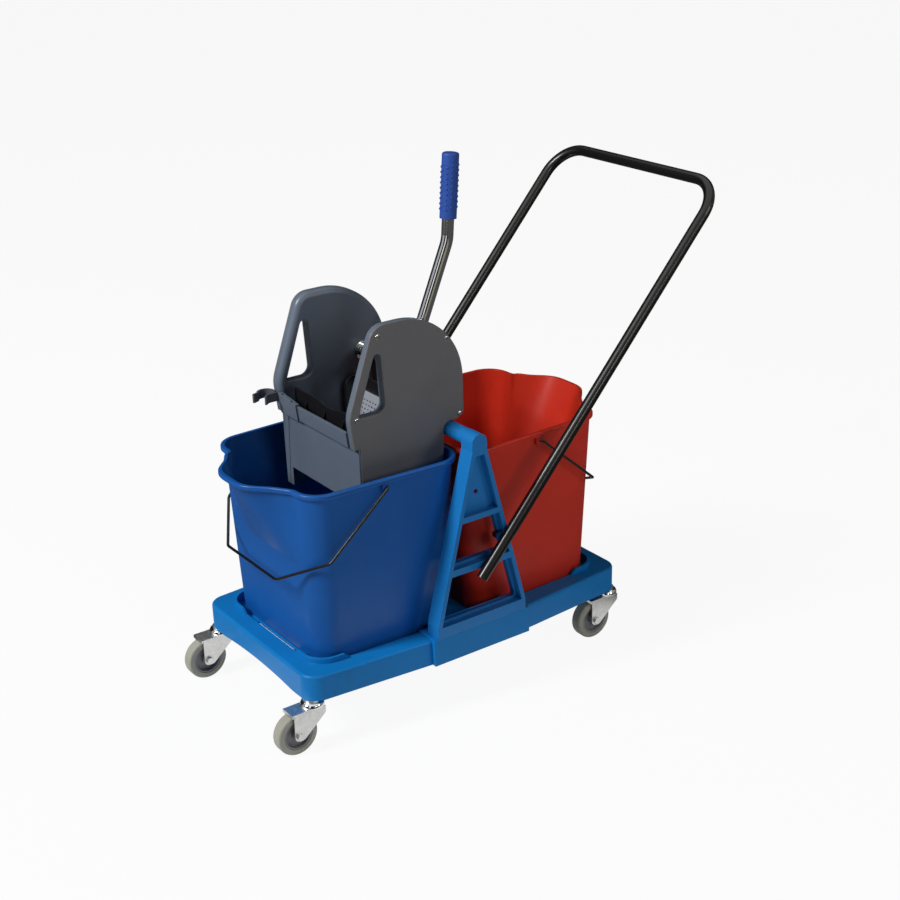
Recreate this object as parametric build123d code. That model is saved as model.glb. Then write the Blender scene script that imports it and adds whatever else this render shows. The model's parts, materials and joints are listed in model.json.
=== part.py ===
from build123d import *
from math import acos, cos, pi, radians, sin, sqrt, tan
import os

# Double-bucket mop trolley with a lever wringer.
# Frame: origin on the floor under the middle of the chassis, +X to the rear, +Z up, millimetres.
# The left side is at -Y and the front at -X.

# Clearances
running_gap = 0.3
shaft_clearance = 0.06
seat_gap = 0.3

# Casters
wheel_diameter = 75.0
tyre_width = 22.0
tyre_depth = 10.5
tyre_shoulder = 4.0
rim_width = 20.0
rim_wall = 3.5
rim_web = 5.0
hub_radius = 9.5
hub_width = 27.0
axle_radius = 4.0
axle_head_radius = 7.0
axle_head_height = 5.0
caster_trail = 36.0
tyre_gap = 3.0
fork_metal = 2.2
fork_heel = 16.0
fork_toe = 48.0
fork_toe_lip = 3.5
fork_heel_drop = 12.0
fork_eye_radius = 9.0
cup_radius = 21.0
cup_height = 8.4
flange_radius = 15.0
flange_height = 3.1
stem_radius = 5.5
stem_length = 32.0
rivet_radius = 8.0
rivet_height = 2.0

# Chassis trays and bridge
skirt_depth = 46.0
skirt_wall = 4.0
seat_depth = 8.0
bridge_half_length = 102.0
bridge_rail_rise = 3.0
tray_corner_radius = 32.0
tray_edge_round = 5.0
tray_ledge = 33.0
tray_side_ledge_end = 29.0
tray_side_ledge_seam = 41.0
well_end_gap = 14.0
well_side_gap = 4.0
lip_height = 10.0
lip_wall = 5.0
lip_end_length = 44.0
lip_side_length = 26.0
lip_slope = 12.0
slot_length = 124.0
slot_width = 6.0
skirt_arch_rise = 7.0
skirt_arch_half_span = 120.0
caster_inset_x = 15.0
caster_inset_y = 19.0
socket_radius = 10.0
tray_bolt_radius = 4.0
tray_bolt_rows = (60.0, 140.0)

# Buckets
bucket_height = 316.0
bucket_wall = 2.5
bucket_half_gap = 1.5
bucket_rim_length = 296.0
bucket_floor_length = 266.0
bucket_floor_setback = 17.0
bucket_rim_half_inner = 168.0
bucket_rim_half_outer = 157.0
bucket_floor_half_inner = 152.0
bucket_floor_half_outer = 145.0
bucket_rim_corner = 42.0
bucket_floor_corner = 38.0
rim_lip = 5.0
rim_lip_height = 8.5
rim_lip_round = 2.2
spout_reach = 57.0
spout_drop = 141.0
spout_half_width = 75.0

# Bails
bail_wire_radius = 2.5
bail_bar_clearance = 36.0
bail_taper_depth = 54.0
bail_share = 0.52
bail_grip_half = 82.0
bail_rest_angle = 41.0
bail_pivot_drop = 14.0
bail_side_gap = 1.2
bail_bend = 12.0
bail_pin_length = 8.0
lug_half_width = 9.0
lug_drop = 12.0

# A-frames
frame_side_gap = 1.0
frame_depth = 32.0
frame_foot_inset = 8.0
frame_leg = 8.0
frame_head_half = 15.0
frame_head_drop = 15.0
frame_foot_rung = 20.0
frame_mid_rung = 12.0
frame_mid_rung_height = 109.0
frame_top_rung = 10.0
frame_top_rung_height = 202.0
frame_web = 4.0
frame_web_setback = 14.0
frame_window_lip = 4.0
frame_window_round = 5.0
frame_spare_hole_radius = 4.25
frame_spare_hole_height = 247.0
frame_boss_radius = 8.0
frame_lug_depth = 8.0
stub_radius = 14.0
stub_rim_clearance = 20.7
stub_end_margin = 1.0
frame_bolt_radius = 4.0
frame_bolt_spread = 60.0
frame_bolt_bite = 17.0

# Push handle
tube_diameter = 20.0
tube_wall = 1.5
tube_gap = 0.2
handle_bend = 62.0
handle_foot_x = -7.0
handle_foot_drop = 13.0
handle_top_x = 526.0
handle_top_z = 834.0
handle_bolt_radius = 3.0
handle_insert_radius = 5.0
handle_insert_length = 5.0
handle_nut_radius = 5.8
handle_nut_height = 5.0
handle_bolt_bite = 8.0
plug_length = 12.0
plug_cap = 2.0
knob_radius = 6.5
knob_thickness = 8.0
knob_neck_radius = 4.5
knob_neck_length = 4.0
knob_margin = 1.0
knob_lobes = 5
knob_lobe_radius = 2.4

# Wringer, placed from the two stubs of the A-frames
wringer_half_width = 124.0
panel_thickness = 20.0
cover_thickness = 3.0
panel_wall = 3.0
pocket_inset = 6.0
panel_nose_x = -200.0
panel_nose_rise = 65.0
panel_groove_x = -193.0
panel_groove_rise = 8.5
plate_top_x = -184.5
panel_foot_x = -182.5
panel_foot_drop = 132.0
panel_foot_rear_x = -18.0
panel_top_x = -147.0
panel_top_rise = 212.0
panel_rear_x = 28.0
panel_front_round = 32.0
panel_rear_round = 125.0
panel_nose_round = 60.0
lobe_flat = 14.0
lobe_rise = 11.0
lobe_round = 4.0
cover_round = 1.2
shell_round = 10.0
cover_hole_round = 2.4
shell_hole_round = 4.0
hand_hole = ((-136.7, 192.4, 7.0), (-182.0, 62.0, 4.0), (-129.0, 62.0, 16.0))
cover_screw_spots = ((-139.5, 193.6), (-4.5, 161.7), (-186.0, 60.0), (19.5, 23.0))
screw_head_radius = 4.5
screw_head_height = 2.2
screw_radius = 2.0
screw_length = 9.0
screw_boss_radius = 5.0
strip_top_rise = 35.5
strip_depth = 5.0
front_plate_metal = 3.0
front_plate_margin = 1.0
front_plate_gap = 1.0
front_plate_groove = 1.2
front_plate_groove_top = 22.0
front_plate_groove_foot = 11.0
front_leg_width = 22.0
front_cutout_rise = 35.0
clip_block_lap = 3.0
clip_block_length = 54.0
clip_block_low_top = 3.0
clip_block_high_top = 11.5
clip_block_ear = 2.0
clip_block_hole = 4.5
clip_radius = 12.5
clip_wall = 3.5
clip_height = 16.0
clip_opening = 90.0
clip_facing = 208.0
clip_stand_off = 19.0
clip_lip_length = 12.0
clip_foot = 18.0
sieve_gap = 25.0
sieve_foot_gap = 25.4
sieve_metal = 3.0
sieve_rib_pitch = 59.0
sieve_rib_middle = 8.5
sieve_rib_rise = 2.0
sieve_rib_drop = 15.0
sieve_rise = 12.5
sieve_wave = 6.0
sieve_wave_y = -8.0
sieve_wave_half = 50.0
sieve_hole_radius = 4.0
floor_metal = 4.0
floor_rise = 10.0
rear_plate_metal = 3.0
rear_plate_drop = 6.0
shaft_x = -27.0
shaft_rise = 87.0
shaft_radius = 11.0
shaft_wall = 2.0
journal_radius = 8.0
journal_reach = 7.0
washer_radius = 16.5
washer_height = 3.0
press_arm_half = 62.0
press_arm_width = 10.0
press_collar_radius = 16.0
jaw_side_gap = 3.0
jaw_wall = 4.0
jaw_cheek = 7.0
jaw_cheek_reach = 30.0
jaw_cheek_round = 18.0
jaw_top_drop = 41.0
jaw_shoulder_drop = 105.0
jaw_bottom_drop = 178.0
jaw_setback = 10.0
press_metal = 4.0
press_top_drop = 66.0
press_bottom_drop = 172.0
press_hole_radius = 2.2
press_hole_pitch = 9.0
lever_y = -38.0
lever_radius = 10.5
lever_wall = 1.8
lever_lean = 23.1
lever_bend_height = 212.0
lever_bend_radius = 60.0
lever_top_lean = 4.5
lever_top_length = 144.0
lever_collar_width = 30.0
grip_length = 110.0
grip_radius = 14.5
grip_cap = 4.0
spring_wire = 1.5
spring_radius = 15.5
spring_pitch = 4.2
spring_turns = 6
spring_leg = 24.0
spring_samples = 600

# Heights up the stack
wheel_radius = wheel_diameter / 2
plate_low = wheel_diameter + tyre_gap
plate_high = plate_low + fork_metal
cup_high = plate_high + cup_height
skirt_bottom = cup_high + running_gap + flange_height
deck_top = skirt_bottom + skirt_depth
seat_top = deck_top - seat_depth
rail_top = deck_top + bridge_rail_rise
bucket_base = seat_top + seat_gap
rim_top = bucket_base + bucket_height
hook_z = rim_top + stub_rim_clearance + stub_radius

# Places along and across, as distances from the middle of the chassis
bucket_rim_start = bucket_half_gap + rim_lip
bucket_floor_start = bucket_rim_start + bucket_floor_setback
bucket_floor_end = bucket_floor_start + bucket_floor_length
well_end = bucket_floor_end + well_end_gap
tray_end = well_end + tray_ledge
caster_x = tray_end - caster_inset_x
tray_half_end = bucket_floor_half_outer + well_side_gap + tray_side_ledge_end
tray_half_seam = bucket_floor_half_inner + well_side_gap + tray_side_ledge_seam
caster_y = tray_half_end - caster_inset_y
frame_inner = bucket_rim_half_inner + rim_lip + frame_side_gap
frame_face = frame_inner + frame_depth
handle_y = frame_face + tube_gap + tube_diameter / 2
panel_inner = wringer_half_width - panel_thickness
cover_inner = wringer_half_width - cover_thickness
stub_end = panel_inner - stub_end_margin
shaft_z = hook_z + shaft_rise
strip_top = hook_z + strip_top_rise
strip_low = hook_z + panel_groove_rise
notch_radius = stub_radius + running_gap
wringer_foot = hook_z - panel_foot_drop

os.makedirs("parts", exist_ok=True)


def save(name, shape):
    """Writes one sub-part."""
    shape.label = name
    export_step(shape, f"parts/{name}.step")


def block(x_span, y_span, z_span):
    """A box between two limits on each axis."""
    centre = [(low + high) / 2 for low, high in (x_span, y_span, z_span)]
    size = [high - low for low, high in (x_span, y_span, z_span)]
    return Pos(*centre) * Box(*size)


def rod_y(x, z, radius, y_low, y_high):
    """A round bar along Y."""
    plane = Plane((x, y_low, z), x_dir=(1, 0, 0), z_dir=(0, 1, 0))
    return extrude(plane * Circle(radius), y_high - y_low)


def rod_z(x, y, radius, z_low, z_high):
    """A round bar along Z."""
    return extrude(Pos(x, y, z_low) * Circle(radius), z_high - z_low)


def rod_x(y, z, radius, x_low, x_high):
    """A round bar along X."""
    plane = Plane((x_low, y, z), x_dir=(0, 1, 0), z_dir=(1, 0, 0))
    return extrude(plane * Circle(radius), x_high - x_low)


def slab(face, y_low, y_high):
    """A face drawn with X across and Z up, made as thick as the span along Y."""
    plane = Plane((0, y_high, 0), x_dir=(1, 0, 0), z_dir=(0, -1, 0))
    return extrude(plane * face, y_high - y_low, dir=(0, -1, 0))


def hexagon_y(x, z, radius, y_low, y_high):
    """A six-sided bolt head or nut along Y."""
    plane = Plane((x, y_low, z), x_dir=(1, 0, 0), z_dir=(0, 1, 0))
    return extrude(plane * RegularPolygon(radius, 6), y_high - y_low)


def hexagon_x(y, z, radius, x_low, x_high):
    """A six-sided bolt head or nut along X."""
    plane = Plane((x_low, y, z), x_dir=(0, 1, 0), z_dir=(1, 0, 0))
    return extrude(plane * RegularPolygon(radius, 6), x_high - x_low)


def corner_points(before, corner, after, radius):
    """Start, middle and end of the arc that rounds a corner."""
    if radius <= 0:
        return corner, corner, corner
    to_before = (before - corner).normalized()
    to_after = (after - corner).normalized()
    half = acos(max(-1.0, min(1.0, to_before.dot(to_after)))) / 2
    along = radius / tan(half)
    middle = (to_before + to_after).normalized() * (radius / sin(half) - radius)
    return corner + to_before * along, corner + middle, corner + to_after * along


def rounded_edges(corners, curve_after=None, curve=None):
    """Edges round a closed outline of (x, y, radius) corners; one side may be a given curve."""
    spots = [Vector(x, y) for x, y, _ in corners]
    count = len(spots)
    arcs = []
    for i, (_, _, radius) in enumerate(corners):
        arcs.append(corner_points(spots[i - 1], spots[i], spots[(i + 1) % count], radius))
    edges = []
    for i, (start, middle, end) in enumerate(arcs):
        if (end - start).length > 1e-6:
            edges.append(ThreePointArc(start, middle, end))
        following = arcs[(i + 1) % count][0]
        if i == curve_after:
            edges.append(curve(end, following))
        else:
            edges.append(Line(end, following))
    return edges


def rounded_face(corners):
    """A flat face with rounded corners."""
    return make_face(rounded_edges(corners))


def both_sides(shape):
    """A left-hand shape together with its right-hand copy."""
    return [shape, mirror(shape, about=Plane.XZ)]


def group(shapes):
    """Separate solids kept in one sub-part."""
    solids = []
    for shape in shapes:
        solids.extend(shape.solids())
    return Compound(children=solids)


# Casters: each is a stem in the tray, a fork that swivels on it and a wheel on its axle
def caster_stem():
    pin = rod_z(0, 0, stem_radius, plate_low - running_gap - rivet_height, skirt_bottom + stem_length)
    flange = rod_z(0, 0, flange_radius, cup_high + running_gap, skirt_bottom)
    rivet = rod_z(0, 0, rivet_radius, plate_low - running_gap - rivet_height, plate_low - running_gap)
    return pin + flange + rivet


def caster_cup():
    low, high = plate_high, cup_high
    shoulder = cup_radius * 0.72
    belly = (cup_radius * 0.95, low + cup_height * 0.62)
    profile = make_face(
        [
            Line((0, low), (cup_radius, low)),
            ThreePointArc((cup_radius, low), belly, (shoulder, high)),
            Line((shoulder, high), (0, high)),
            Line((0, high), (0, low)),
        ]
    )
    dome = revolve(Plane.XZ * profile, axis=Axis.Z)
    return dome - rod_z(0, 0, stem_radius + shaft_clearance, low, high)


def caster_fork():
    inner = hub_width / 2 + running_gap
    outer = inner + fork_metal
    eye = -caster_trail
    low = wheel_radius - fork_eye_radius
    cheek = rounded_face(
        [
            (eye - fork_eye_radius, plate_low, 0),
            (fork_heel, plate_low, 0),
            (fork_heel, plate_low - fork_heel_drop, 5.0),
            (eye + fork_eye_radius, low, fork_eye_radius * 0.8),
            (eye - fork_eye_radius, low, fork_eye_radius * 0.95),
        ]
    )
    plate = block((-fork_toe, fork_heel), (-outer, outer), (plate_low, plate_high))
    heel_edges = plate.edges().filter_by(Axis.Z).sort_by(Axis.X)[-2:]
    plate = fillet(heel_edges, outer * 0.8)
    lip_low = plate_low - fork_toe_lip
    toe = block((-fork_toe, -fork_toe + fork_metal), (-outer, outer), (lip_low, plate_low))
    fork = plate + toe + slab(cheek, inner, outer) + slab(cheek, -outer, -inner)
    fork -= rod_z(0, 0, stem_radius + shaft_clearance, plate_low, plate_high)
    return fork - rod_y(eye, wheel_radius, axle_radius, -outer, outer)


def caster_axle():
    outer = hub_width / 2 + running_gap + fork_metal
    bolt = rod_y(-caster_trail, wheel_radius, axle_radius, -outer, outer + axle_head_height + 2)
    head = hexagon_y(-caster_trail, wheel_radius, axle_head_radius, -outer - axle_head_height, -outer)
    nut = hexagon_y(-caster_trail, wheel_radius, axle_head_radius, outer, outer + axle_head_height)
    return bolt + head + nut


def caster_wheel():
    x, z = -caster_trail, wheel_radius
    rim_radius = wheel_radius - tyre_depth
    half_rim = rim_width / 2
    rim = rod_y(x, z, rim_radius, -half_rim, half_rim)
    rim -= rod_y(x, z, rim_radius - rim_wall, -half_rim, half_rim)
    web = rod_y(x, z, rim_radius - rim_wall, -rim_web / 2, rim_web / 2)
    hub = rod_y(x, z, hub_radius, -hub_width / 2, hub_width / 2)
    bore = rod_y(x, z, axle_radius + shaft_clearance, -hub_width / 2, hub_width / 2)
    return rim + web + hub - bore


def caster_tyre():
    x, z = -caster_trail, wheel_radius
    half = tyre_width / 2
    tread = rod_y(x, z, wheel_radius, -half, half)
    tread = fillet(tread.edges().filter_by(GeomType.CIRCLE), tyre_shoulder)
    return tread - rod_y(x, z, wheel_radius - tyre_depth, -half, half)


caster_pieces = {
    "stem": caster_stem(),
    "cup": caster_cup(),
    "fork": caster_fork(),
    "axle": caster_axle(),
    "wheel": caster_wheel(),
    "tyre": caster_tyre(),
}
caster_places = {
    "front_left": (-caster_x, -caster_y),
    "front_right": (-caster_x, caster_y),
    "rear_left": (caster_x, -caster_y),
    "rear_right": (caster_x, caster_y),
}
for place, (x, y) in caster_places.items():
    for piece, shape in caster_pieces.items():
        save(f"{place}_caster_{piece}", Pos(x, y, 0) * shape)


# Buckets: outline at a share of the height, grown outwards by a wall or a lip
def between(low, high, share):
    return low + (high - low) * share


def spout_share(y, end):
    """Height of the pouring spout's bulge across the end wall, from 0 to 1."""
    bulge = 1 / (1 + (y / spout_half_width) ** 4)
    foot = 1 / (1 + (end / spout_half_width) ** 4)
    return (bulge - foot) / (1 - foot)


def bucket_outline(share, grow, reach):
    """Face of the rear bucket's outline at a share of its height, with its spout out by reach."""
    start = between(bucket_floor_start, bucket_rim_start, share) - grow
    length = between(bucket_floor_length, bucket_rim_length, share)
    finish = start + length + 2 * grow
    half_start = between(bucket_floor_half_inner, bucket_rim_half_inner, share) + grow
    half_finish = between(bucket_floor_half_outer, bucket_rim_half_outer, share) + grow
    radius = between(bucket_floor_corner, bucket_rim_corner, share) + grow

    def end_wall(first, last):
        if reach == 0:
            return Line(first, last)
        steps = 12
        points = []
        for i in range(steps + 1):
            y = between(first.Y, last.Y, i / steps)
            points.append((finish + reach * spout_share(y, last.Y), y))
        return Spline(*points, tangents=[(0, 1), (0, 1)])

    corners = [
        (start, -half_start, radius),
        (finish, -half_finish, radius),
        (finish, half_finish, radius),
        (start, half_start, radius),
    ]
    edges = rounded_edges(corners, curve_after=1, curve=end_wall)
    return Pos(0, 0, bucket_base + bucket_height * share) * make_face(edges)


def bucket_body(grow, floor_share):
    """The bucket's tapered form from a share of the height up to the rim."""
    crease = 1 - spout_drop / bucket_height
    lower = loft([bucket_outline(floor_share, grow, 0), bucket_outline(crease, grow, 0)], ruled=True)
    upper = loft([bucket_outline(crease, grow, 0), bucket_outline(1, grow, spout_reach)], ruled=True)
    return lower + upper


bail_x = bucket_rim_start + bucket_rim_length * bail_share
bail_z = rim_top - bail_pivot_drop
bail_wall = between(bucket_rim_half_inner, bucket_rim_half_outer, bail_share)
bail_half = bail_wall + rim_lip + bail_side_gap + bail_wire_radius
bail_angle = radians(bail_rest_angle)
bail_bar_x = between(bucket_floor_end, bucket_rim_start + bucket_rim_length, 0.5) + bail_bar_clearance
bail_reach = (bail_bar_x - bail_x) / cos(bail_angle)
bail_shoulder = bail_reach - bail_taper_depth / cos(bail_angle)


def rear_bucket():
    lip = extrude(bucket_outline(1, rim_lip, spout_reach), rim_lip_height, dir=(0, 0, -1))
    lip_faces = lip.faces().sort_by(Axis.Z)
    lip = fillet(lip_faces[0].edges() + lip_faces[-1].edges(), rim_lip_round)
    lug_low = bail_z - lug_drop
    lug = block(
        (bail_x - lug_half_width, bail_x + lug_half_width),
        (-bail_wall - rim_lip, -bail_wall + bucket_wall),
        (lug_low, rim_top - rim_lip_height),
    )
    lower_edges = lug.edges().filter_by(Axis.Y).group_by(Axis.Z)[0]
    lug = chamfer(lower_edges, lug_half_width * 0.55)
    pin_hole = rod_y(
        bail_x,
        bail_z,
        bail_wire_radius + shaft_clearance,
        -bail_half,
        -bail_half + bail_pin_length + running_gap,
    )
    shell = bucket_body(0, 0) + lip + both_sides(lug)
    shell -= bucket_body(-bucket_wall, bucket_wall / bucket_height)
    return shell - both_sides(pin_hole)


def rear_bail():
    """A wire bail hung in the two lugs and leaning down over the outer end."""

    def spot(reach, y):
        return (bail_x + reach * cos(bail_angle), y, bail_z - reach * sin(bail_angle))

    half_path = [
        spot(0, -bail_half + bail_pin_length),
        spot(0, -bail_half),
        spot(bail_shoulder, -bail_half),
        spot(bail_reach, -bail_grip_half),
    ]
    other_half = [(x, -y, z) for x, y, z in reversed(half_path)]
    bend = bail_wire_radius * 1.6
    radii = [bend, bail_bend, bail_bend, bail_bend, bail_bend, bend]
    path = FilletPolyline(*half_path, *other_half, radius=radii)
    return sweep(Plane(path @ 0, z_dir=path % 0) * Circle(bail_wire_radius), path)


bucket = rear_bucket()
bail = rear_bail()
save("red_bucket", bucket)
save("blue_bucket", mirror(bucket, about=Plane.YZ))
save("red_bucket_bail", bail)
save("blue_bucket_bail", mirror(bail, about=Plane.YZ))


# Chassis: two half trays bolted to a bridge
def tray_half_width(x):
    share = (x - bridge_half_length) / (tray_end - bridge_half_length)
    return between(tray_half_seam, tray_half_end, share)


def tray_outline(inset):
    """Plan of the rear tray, drawn in from its outer faces by inset."""
    start, finish = bridge_half_length, tray_end - inset
    corner = tray_corner_radius - inset
    return rounded_face(
        [
            (start, -tray_half_seam + inset, 0),
            (finish, -tray_half_width(finish) + inset, corner),
            (finish, tray_half_width(finish) - inset, corner),
            (start, tray_half_seam - inset, 0),
        ]
    )


def well_outline(grow):
    """Plan of the recess that takes a bucket's foot."""
    start, finish = bridge_half_length - grow, well_end + grow
    half_start = bucket_floor_half_inner + well_side_gap + grow
    half_finish = bucket_floor_half_outer + well_side_gap + grow
    corner = bucket_floor_corner + grow
    return rounded_face(
        [
            (start, -half_start, 0),
            (finish, -half_finish, corner),
            (finish, half_finish, corner),
            (start, half_start, 0),
        ]
    )


def lift(face, z_low, z_high):
    """A plan face made into a solid between two heights."""
    return extrude(Pos(0, 0, z_low) * face, z_high - z_low, dir=(0, 0, 1))


def corner_lip():
    """Raised L-shaped rim at the left outer corner of the well, with sloped ends."""
    top = deck_top + lip_height
    ring = lift(well_outline(lip_wall), deck_top, top) - lift(well_outline(0), deck_top, top)
    half = bucket_floor_half_outer + well_side_gap + lip_wall
    side_start = well_end - bucket_floor_corner - lip_side_length
    side = Polygon(
        (side_start, deck_top),
        (tray_end, deck_top),
        (tray_end, top),
        (side_start + lip_slope, top),
        align=None,
    )
    end_start = half - bucket_floor_corner - lip_end_length + lip_slope
    end = Polygon(
        (-tray_half_seam, deck_top),
        (-end_start, deck_top),
        (-end_start - lip_slope, top),
        (-tray_half_seam, top),
        align=None,
    )
    across = Plane((0, 0, 0), x_dir=(0, 1, 0), z_dir=(1, 0, 0))
    keep_side = slab(side, -tray_half_seam, 0)
    keep_end = extrude(across * end, tray_end, dir=(1, 0, 0))
    return ring & keep_side & keep_end


def rear_tray():
    body = lift(tray_outline(0), skirt_bottom, deck_top)
    top_face = body.faces().sort_by(Axis.Z)[-1]
    top_edges = top_face.edges().filter_by(lambda e: e.center().X > bridge_half_length + 1)
    body = fillet(top_edges, tray_edge_round)
    hollow = lift(tray_outline(skirt_wall), skirt_bottom, seat_top - skirt_wall)
    under_ledge = lift(tray_outline(skirt_wall), seat_top - skirt_wall, deck_top - skirt_wall)
    under_ledge -= lift(well_outline(skirt_wall), seat_top - skirt_wall, deck_top - skirt_wall)
    end_wall = block(
        (bridge_half_length, bridge_half_length + skirt_wall),
        (-tray_half_seam, tray_half_seam),
        (skirt_bottom, deck_top),
    )
    body -= (hollow + under_ledge) - end_wall
    body -= lift(well_outline(0), seat_top, deck_top)
    slot_end = well_end - slot_width * 0.8
    body -= block(
        (slot_end - slot_width, slot_end),
        (-slot_length / 2, slot_length / 2),
        (seat_top - skirt_wall, seat_top),
    )
    arch_radius = (skirt_arch_half_span**2 + skirt_arch_rise**2) / (2 * skirt_arch_rise)
    arch_z = skirt_bottom + skirt_arch_rise - arch_radius
    body -= rod_x(0, arch_z, arch_radius, tray_end - 2 * skirt_wall, tray_end + skirt_wall)
    socket = rod_z(caster_x, -caster_y, socket_radius, skirt_bottom, deck_top - skirt_wall)
    body += both_sides(socket & lift(tray_outline(0), skirt_bottom, deck_top))
    body += both_sides(corner_lip())
    stem_bore = rod_z(
        caster_x, -caster_y, stem_radius + shaft_clearance, skirt_bottom, skirt_bottom + stem_length
    )
    body -= both_sides(stem_bore)
    for y in tray_bolt_rows:
        bolt_hole = rod_x(
            -y, tray_bolt_z, tray_bolt_radius, bridge_half_length, bridge_half_length + skirt_wall
        )
        body -= both_sides(bolt_hole)
    return body


tray_bolt_z = (skirt_bottom + seat_top - skirt_wall) / 2


def bridge_section():
    """The middle of the chassis, with a raised rail at each side for the A-frames."""
    half = bridge_half_length
    rail = bucket_floor_half_inner + well_side_gap
    body = block((-half, half), (-frame_face, frame_face), (skirt_bottom, rail_top))
    body -= block((-half, half), (-rail, rail), (seat_top, rail_top))
    body -= block(
        (-half + skirt_wall, half - skirt_wall),
        (-rail - skirt_wall, rail + skirt_wall),
        (skirt_bottom, seat_top - skirt_wall),
    )
    rail_hollow = block(
        (-half + skirt_wall, half - skirt_wall),
        (-frame_face + skirt_wall, -rail - 2 * skirt_wall),
        (skirt_bottom, rail_top - skirt_wall),
    )
    body -= both_sides(rail_hollow)
    for y in tray_bolt_rows:
        body -= both_sides(rod_x(-y, tray_bolt_z, tray_bolt_radius, -half, half))
    for x in (-frame_bolt_spread, frame_bolt_spread):
        bolt_hole = rod_z(x, -frame_bolt_y, frame_bolt_radius, rail_top - skirt_wall, rail_top)
        body -= both_sides(bolt_hole)
    return body


frame_bolt_y = frame_face - frame_depth / 2


def tray_bolts():
    """Bolts along X that hold the two trays to the bridge."""
    bolts = []
    head_radius = tray_bolt_radius * 1.8
    head = tray_bolt_radius * 1.2
    for y in tray_bolt_rows:
        near = bridge_half_length - skirt_wall
        far = bridge_half_length + skirt_wall
        bolt = rod_x(-y, tray_bolt_z, tray_bolt_radius, near - head, far)
        bolt += hexagon_x(-y, tray_bolt_z, head_radius, far, far + head)
        bolt += hexagon_x(-y, tray_bolt_z, head_radius, near - head, near)
        for side in both_sides(bolt):
            bolts += [side, mirror(side, about=Plane.YZ)]
    return group(bolts)


tray = rear_tray()
save("rear_tray", tray)
save("front_tray", mirror(tray, about=Plane.YZ))
save("bridge", bridge_section())
save("tray_bolts", tray_bolts())


# A-frames: open ladder mouldings with a round head that carries the wringer
frame_foot = rail_top
frame_shoulder = hook_z - frame_head_drop
frame_foot_half = bridge_half_length - frame_foot_inset
frame_foot_top = frame_foot + frame_foot_rung
frame_slope = (frame_foot_half - frame_head_half) / (frame_shoulder - frame_foot_top)


def frame_half(z):
    """Half width of the A-frame's outside at a height above its foot."""
    return frame_foot_half - frame_slope * (z - frame_foot_top)


def frame_window(z_low, z_high, inset, corner):
    """The opening between two rungs, drawn in by inset."""
    z_low, z_high = z_low + inset, z_high - inset
    low = frame_half(z_low) - frame_leg - inset
    high = frame_half(z_high) - frame_leg - inset
    corners = [(-low, z_low), (low, z_low), (high, z_high), (-high, z_high)]
    return rounded_face([(x, z, corner) for x, z in corners])


mid_rung_low = frame_foot + frame_mid_rung_height
mid_rung_high = mid_rung_low + frame_mid_rung
top_rung_low = frame_foot + frame_top_rung_height
top_rung_high = top_rung_low + frame_top_rung
web_top = frame_shoulder - frame_leg

# The handle's legs run in a plane outside each A-frame
handle_foot_z = mid_rung_low - handle_foot_drop
handle_slope = (handle_top_x - handle_foot_x) / (handle_top_z - handle_foot_z)


def handle_x(z):
    """Where the handle's leg is at a height."""
    return handle_foot_x + handle_slope * (z - handle_foot_z)


# The lower bolt's boss is level with the middle rung's top; at the upper bolt the knob clears the leg
lower_bolt_z = mid_rung_high - frame_boss_radius
knob_reach = frame_leg + knob_radius + knob_margin
knob_line = frame_foot_half + frame_slope * frame_foot_top - knob_reach
upper_bolt_z = (knob_line - handle_foot_x + handle_slope * handle_foot_z) / (handle_slope + frame_slope)
handle_bolts_at = ((handle_x(lower_bolt_z), lower_bolt_z), (handle_x(upper_bolt_z), upper_bolt_z))


def left_frame():
    half, foot = frame_head_half, frame_foot_half
    side = make_face(
        [
            Line((-foot, frame_foot), (foot, frame_foot)),
            Line((foot, frame_foot), (foot, frame_foot_top)),
            Line((foot, frame_foot_top), (half, frame_shoulder)),
            Line((half, frame_shoulder), (half, hook_z)),
            ThreePointArc((half, hook_z), (0, hook_z + half), (-half, hook_z)),
            Line((-half, hook_z), (-half, frame_shoulder)),
            Line((-half, frame_shoulder), (-foot, frame_foot_top)),
            Line((-foot, frame_foot_top), (-foot, frame_foot)),
        ]
    )
    body = slab(side, -frame_face, -frame_inner)
    web_outer = -frame_face + frame_web_setback
    web_inner = web_outer + frame_web
    (lower_x, lower_z), (upper_x, upper_z) = handle_bolts_at
    windows = ((frame_foot_top, mid_rung_low), (mid_rung_high, top_rung_low))
    for low, high in (*windows, (top_rung_high, web_top)):
        body -= slab(frame_window(low, high, 0, 0), -frame_face, web_outer)
        body -= slab(frame_window(low, high, 0, 0), web_inner, -frame_inner)
    for low, high in windows:
        body -= slab(frame_window(low, high, frame_window_lip, frame_window_round), web_outer, web_inner)
    knob_room = rod_y(upper_x, upper_z, knob_radius + 2 * knob_margin, web_outer, web_inner)
    body -= knob_room & slab(frame_window(mid_rung_high, top_rung_low, 0, 0), web_outer, web_inner)
    body += rod_y(lower_x, lower_z, frame_boss_radius, -frame_face, -frame_inner)
    lug_inner = -frame_face + frame_lug_depth
    body += rod_y(upper_x, upper_z, frame_boss_radius, -frame_face, lug_inner)
    body += block(
        (upper_x, frame_half(upper_z) - frame_leg / 2),
        (-frame_face, lug_inner),
        (upper_z - frame_boss_radius, upper_z + frame_boss_radius),
    )
    body += rod_y(0, hook_z, stub_radius, -frame_inner, -stub_end)
    for x, z in handle_bolts_at:
        body -= rod_y(x, z, handle_bolt_radius, -frame_face, -frame_inner)
    body -= rod_y(0, frame_foot + frame_spare_hole_height, frame_spare_hole_radius, -frame_face, -frame_inner)
    for x in (-frame_bolt_spread, frame_bolt_spread):
        body -= rod_z(x, -frame_bolt_y, frame_bolt_radius, frame_foot, frame_foot + frame_bolt_bite)
    return body


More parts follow.
